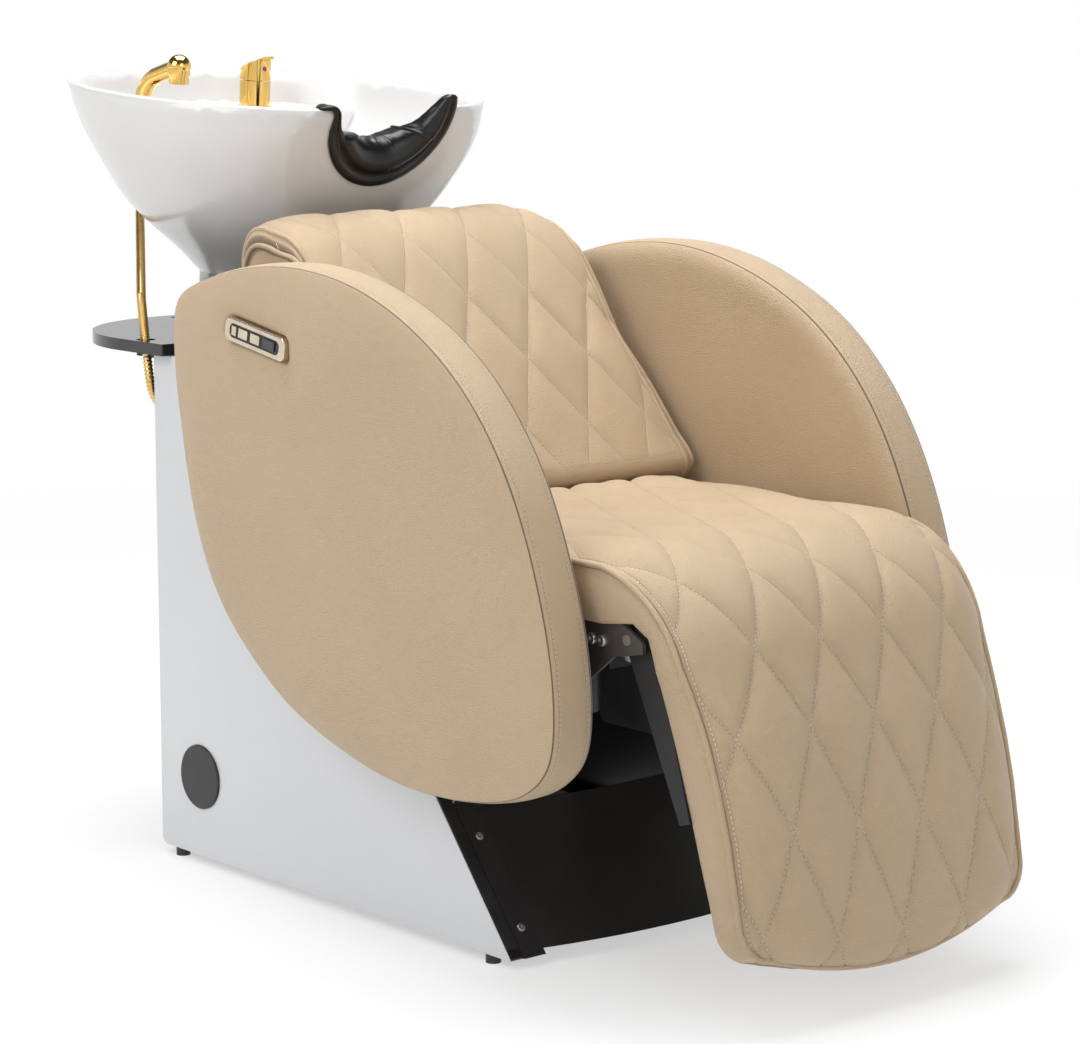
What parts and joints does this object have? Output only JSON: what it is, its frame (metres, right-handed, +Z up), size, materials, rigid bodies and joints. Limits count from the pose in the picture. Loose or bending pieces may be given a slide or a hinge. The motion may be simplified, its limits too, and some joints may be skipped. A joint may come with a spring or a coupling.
{
  "type": "hair washing bed",
  "caption": "Padded shampoo chair with a lifting leg rest and side armrests, in front of a tilting ceramic wash basin with a neck rest, a mixer and a pull-out spray.",
  "frame": {"origin": "middle of the footprint on the floor, hoses left out", "axes": "+Z up, -Y the way the sitter faces, +X to the sitter's left"},
  "size_m": [0.6606, 1.4162, 1.0086],
  "materials": {
    "panel_lacquer": "silver-grey satin lacquer on board",
    "black_board": "black satin laminate on board",
    "black_sheet": "satin black powder coat",
    "frame_paint": "matt black paint on steel",
    "zinc": "bright zinc plate",
    "black_plastic": "fine grained black plastic",
    "ceramic": "glossy white glaze",
    "black_rubber": "smooth satin black",
    "gold": "polished gold plate",
    "gold_hose": "gold ribbed metal sleeve",
    "marker": "red and blue dot",
    "drain_plastic": "smooth grey",
    "leather": "grained warm cream",
    "plywood": "bare plywood",
    "champagne": "satin champagne anodise",
    "gloss_black": "polished black",
    "circuit": "green laminate",
    "dark_key": "dark key with a pale mark"
  },
  "bodies": {
    "frame": {"access_caps": "black_plastic", "armrest_cores": "plywood", "armrest_inner_pads": "leather", "armrest_outer_pad_left": "leather", "armrest_outer_pad_right": "leather", "back_board": "plywood", "back_brackets": "frame_paint", "backrest_cushion": "leather", "backrest_shell": "leather", "base_frame": "frame_paint", "basin_carrier": "frame_paint", "basin_tilt_pin": "zinc", "control_box": "black_plastic", "drive_clamp": "frame_paint", "drive_motor": "black_plastic", "drive_tube": "zinc", "feet": "black_plastic", "frame_bolts": "zinc", "front_apron": "black_sheet", "key_bezel": "champagne", "key_circuit_board": "circuit", "key_insert": "gloss_black", "knee_roll": "leather", "panel_angles": "frame_paint", "panel_edge_strips": "black_plastic", "power_inlet": "black_plastic", "rear_frame": "frame_paint", "rear_service_cover": "black_sheet", "seat_board": "plywood", "seat_cross_tubes": "frame_paint", "seat_cushion": "leather", "seat_side_plates": "frame_paint", "sheet_screws": "zinc", "shelf": "black_board", "side_panel_left": "panel_lacquer", "side_panel_right": "panel_lacquer", "spray_hose_lower": "gold_hose", "spray_hose_upper": "gold_hose", "waste_hose": "drain_plastic"},
    "basin": {"basin": "ceramic", "tilt_cradle": "frame_paint", "neck_rest": "black_rubber", "mixer_body": "gold", "mixer_nut": "gold", "spray_holder": "gold", "waste_fitting": "drain_plastic"},
    "mixer_cartridge": {"mixer_cartridge": "gold"},
    "mixer_lever": {"mixer_lever": "gold", "mixer_marker_dot": "marker"},
    "spray": {"spray_head": "gold", "spray_gland": "gold"},
    "legrest": {"legrest_cushion": "leather", "legrest_board": "plywood", "legrest_arms": "frame_paint", "legrest_pins": "zinc"},
    "drive_rod": {"drive_rod": "zinc"},
    "light_key": {"light_key": "champagne"},
    "legrest_up_key": {"legrest_up_key": "champagne"},
    "legrest_down_key": {"legrest_down_key": "champagne"},
    "power_key": {"power_key": "dark_key"}
  },
  "joints": [
    {"name": "basin_tilt", "type": "hinge", "parent": "frame", "child": "basin", "pos_m": [0.0018, 0.4946, 0.684], "axis": [-1, 0, 0], "range_deg": [0, 15], "deforming": ["spray_hose_upper", "spray_hose_lower", "waste_hose"]},
    {"name": "mixer_swivel", "type": "hinge", "parent": "basin", "child": "mixer_cartridge", "pos_m": [0.0938, 0.60312, 0.93239], "axis": [0, -0.0715, 0.9974], "range_deg": [-45, 45]},
    {"name": "mixer_lift", "type": "hinge", "parent": "mixer_cartridge", "child": "mixer_lever", "pos_m": [0.0938, 0.62028, 0.97272], "axis": [-1, 0, 0], "range_deg": [0, 12]},
    {"name": "spray_pull", "type": "slide", "parent": "basin", "child": "spray", "axis": [0, -0.0715, 0.9974], "range_m": [0, 0.06], "deforming": ["spray_hose_upper", "spray_hose_lower"]},
    {"name": "legrest_lift", "type": "hinge", "parent": "frame", "child": "legrest", "pos_m": [0.0018, -0.5234, 0.404], "axis": [-1, 0, 0], "range_deg": [0, 70], "deforming": ["knee_roll"]},
    {"name": "rod_stroke", "type": "slide", "parent": "frame", "child": "drive_rod", "axis": [0, -1, 0], "range_m": [0, 0.0925]},
    {"name": "light_key_press", "type": "slide", "parent": "frame", "child": "light_key", "axis": [1, 0, 0], "range_m": [0, 0.0012], "stiffness_N_per_m": 1200, "springref_m": -0.0005},
    {"name": "legrest_up_key_press", "type": "slide", "parent": "frame", "child": "legrest_up_key", "axis": [1, 0, 0], "range_m": [0, 0.0012], "stiffness_N_per_m": 1200, "springref_m": -0.0005},
    {"name": "legrest_down_key_press", "type": "slide", "parent": "frame", "child": "legrest_down_key", "axis": [1, 0, 0], "range_m": [0, 0.0012], "stiffness_N_per_m": 1200, "springref_m": -0.0005},
    {"name": "power_key_press", "type": "slide", "parent": "frame", "child": "power_key", "axis": [1, 0, 0], "range_m": [0, 0.0012], "stiffness_N_per_m": 1200, "springref_m": -0.0005}
  ],
  "couplings": [
    {"joint": "rod_stroke", "follows": "legrest_lift", "m_per_rad": 0.07512}
  ]
}
